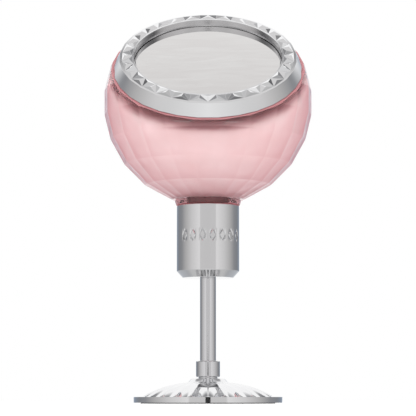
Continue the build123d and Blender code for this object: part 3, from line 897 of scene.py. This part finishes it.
bpy.ops.object.select_all(action="DESELECT")
bpy.ops.mesh.primitive_circle_add(
    vertices=192, radius=MIRROR_RADIUS * MM, location=(0, 0, MIRROR_LOW * MM), fill_type="NGON"
)
mirror = bpy.context.object
mirror.name = "mirror_plate"
bpy.ops.object.transform_apply()
bpy.ops.object.mode_set(mode="EDIT")
bpy.ops.mesh.select_all(action="SELECT")
extrude_face(MIRROR_RADIUS, MIRROR_LOW, MIRROR_RADIUS, MIRROR_TOP - 0.3)
extrude_face(MIRROR_RADIUS, MIRROR_TOP - 0.3, MIRROR_RADIUS - 0.5, MIRROR_TOP)
bpy.ops.mesh.select_all(action="SELECT")
bpy.ops.mesh.normals_make_consistent(inside=False)
bpy.ops.object.mode_set(mode="OBJECT")
smooth(mirror, corner=20)
mirror.data.transform(tilt_frame)
silver = bpy.data.materials.new("silvered_float_glass")
silver.use_nodes = True
silver_shader = silver.node_tree.nodes["Principled BSDF"]
silver_shader.inputs["Metallic"].default_value = 1.0
silver_place = add(silver.node_tree, "ShaderNodeTexCoord", {})
# Faint wiping smears, about 20 mm long and 4 mm wide, run across the plate and change its gloss; the
# lighter streaks in its colour are painted reflections of the studio.
wiped = add(
    silver.node_tree,
    "ShaderNodeMapping",
    {"Vector": silver_place.outputs["Object"], "Scale": (0.3, 1.5, 1.5)},
)
smears_and_reflections = add(
    silver.node_tree,
    "ShaderNodeTexNoise",
    {"Vector": wiped.outputs["Vector"], "Scale": 160.0, "Detail": 3.0, "Distortion": 1.2},
)
# Painted reflection: lighter streaks in the silver's colour stand in for studio light seen in the mirror.
smear_and_reflection_tones = add(silver.node_tree, "ShaderNodeValToRGB", {"Fac": smears_and_reflections.outputs["Fac"]})
set_stops(smear_and_reflection_tones.color_ramp, ((0.35, "ECEAE9"), (0.72, "F2F1F0")))
silver.node_tree.links.new(smear_and_reflection_tones.outputs["Color"], silver_shader.inputs["Base Color"])
smear_gloss = add(
    silver.node_tree,
    "ShaderNodeMapRange",
    {"Value": smears_and_reflections.outputs["Fac"], "From Min": 0.45, "From Max": 0.8, "To Min": 0.02, "To Max": 0.12},
)
silver.node_tree.links.new(smear_gloss.outputs["Result"], silver_shader.inputs["Roughness"])
mirror.data.materials.append(silver)
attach(mirror, "bottle")
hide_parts("mirror_disc")

# ---- Pump, liner and fasteners -----------------------------------------------------------------------
# Small parts from the pump maker and the hardware bin, hidden in the cap and in the neck.


def plain_finish(name, tone, other_tone, grain, rough_low, rough_high, metallic=0.0, relief=0.1):
    """A finish with two close tones, a gloss that changes with them and a fine relief; grain in mm."""
    material = bpy.data.materials.new(name)
    material.use_nodes = True
    tree = material.node_tree
    shader = tree.nodes["Principled BSDF"]
    shader.inputs["Metallic"].default_value = metallic
    place = add(tree, "ShaderNodeTexCoord", {})
    speckle = add(
        tree,
        "ShaderNodeTexNoise",
        {"Vector": place.outputs["Object"], "Scale": 1 / (grain * MM), "Detail": 4.0},
    )
    shades = add(tree, "ShaderNodeValToRGB", {"Fac": speckle.outputs["Fac"]})
    set_stops(shades.color_ramp, ((0.3, tone), (0.7, other_tone)))
    tree.links.new(shades.outputs["Color"], shader.inputs["Base Color"])
    gloss = add(
        tree,
        "ShaderNodeMapRange",
        {"Value": speckle.outputs["Fac"], "To Min": rough_low, "To Max": rough_high},
    )
    tree.links.new(gloss.outputs["Result"], shader.inputs["Roughness"])
    bump = add(
        tree,
        "ShaderNodeBump",
        {"Height": speckle.outputs["Fac"], "Strength": relief, "Distance": 0.03 * MM},
    )
    tree.links.new(bump.outputs["Normal"], shader.inputs["Normal"])
    return material


# Each finish: its two tones, grain, lowest and highest roughness and metallic, then its nodes.
FINISHES = {
    "natural_polypropylene": (
        ("E8EAE8", "F2F3F1", 0.6, 0.32, 0.45),
        ("cap_liner", "pump_housing", "pump_turret", "dip_tube"),
    ),
    "white_acetal": (
        ("EDEDEA", "F6F6F4", 0.5, 0.22, 0.34),
        ("pump_stem", "pump_piston", "button_core", "nozzle_insert"),
    ),
    "anodised_aluminium": (
        ("C9CACD", "D6D7D9", 0.3, 0.16, 0.28, 1.0),
        ("crimp_ferrule", "pump_collar", "button_shell"),
    ),
    "zinc_plated_steel": (
        ("A6A8AB", "BCBDBE", 0.4, 0.25, 0.42, 1.0),
        ("foot_nut", "foot_washer", "tie_rod", "cap_nut", "cap_weight"),
    ),
    "drawn_stainless": (("B4B4B5", "C6C6C6", 0.2, 0.15, 0.25, 1.0), ("check_ball",)),
    "cured_clear_glue": (("D8D6CE", "E2E0DA", 0.8, 0.25, 0.4), ("bezel_glue", "mirror_glue")),
    "nitrile_rubber": (("17171A", "222226", 0.3, 0.6, 0.75), ("neck_gasket",)),
}
for name, (values, nodes) in FINISHES.items():
    finish = plain_finish(name, *values)
    for node in nodes:
        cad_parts[node].data.materials.clear()
        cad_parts[node].data.materials.append(finish)

# ---- Return spring -------------------------------------------------------------------------------------
# A compression spring of drawn stainless wire round the pump's stem. It is a piece of its own because
# it shortens towards the closed end of the pump's chamber as the pump is pressed.
SPRING_WIRE = 0.5
SPRING_TURNS = 5
WIRE_SIDES = 16
TURN_STEPS = 48

spring_low, spring_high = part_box("return_spring")
spring_length = spring_high.z - spring_low.z
bpy.ops.object.select_all(action="DESELECT")
bpy.ops.mesh.primitive_circle_add(
    vertices=WIRE_SIDES,
    radius=SPRING_WIRE / 2 * MM,
    location=(spring_high.x - SPRING_WIRE / 2 * MM, 0, spring_low.z + SPRING_WIRE / 2 * MM),
    rotation=(math.pi / 2, 0, 0),
)
spring = bpy.context.object
spring.name = "return_coil"
bpy.ops.object.transform_apply()
apply(
    spring,
    "SCREW",
    axis="Z",
    angle=2 * math.pi * SPRING_TURNS,
    screw_offset=spring_length - SPRING_WIRE * MM,
    steps=TURN_STEPS * SPRING_TURNS,
    render_steps=TURN_STEPS * SPRING_TURNS,
)
bpy.ops.object.mode_set(mode="EDIT")
bpy.ops.mesh.select_all(action="SELECT")
bpy.ops.mesh.fill_holes(sides=0)
bpy.ops.mesh.select_all(action="SELECT")
bpy.ops.mesh.normals_make_consistent(inside=False)
bpy.ops.object.mode_set(mode="OBJECT")
smooth(spring, corner=50)
spring.data.materials.append(bpy.data.materials["drawn_stainless"])
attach(spring, "bottle")
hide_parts("return_spring")
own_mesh(spring)

# ---- Felt pad ------------------------------------------------------------------------------------------
# A disc of black self-adhesive felt, punched from 1.2 mm sheet.
PAD_SIDES = 192

bpy.ops.object.select_all(action="DESELECT")
bpy.ops.mesh.primitive_circle_add(
    vertices=PAD_SIDES, radius=pad_high.x, location=(0, 0, pad_low.z), fill_type="NGON"
)
pad = bpy.context.object
pad.name = "felt_disc"
bpy.ops.object.transform_apply()
bpy.ops.object.mode_set(mode="EDIT")
bpy.ops.mesh.select_all(action="SELECT")
bpy.ops.mesh.extrude_region_move(TRANSFORM_OT_translate={"value": (0, 0, pad_high.z - pad_low.z)})
bpy.ops.mesh.select_all(action="SELECT")
bpy.ops.mesh.normals_make_consistent(inside=False)
bpy.ops.object.mode_set(mode="OBJECT")
soften(pad, 0.2)
felt = plain_finish("pressed_black_felt", "0E0E10", "26262A", 0.25, 0.9, 1.0, relief=1.0)
felt.node_tree.nodes["Principled BSDF"].inputs["Sheen Weight"].default_value = 0.4
pad.data.materials.append(felt)
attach(pad, "stand")
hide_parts("foot_pad")
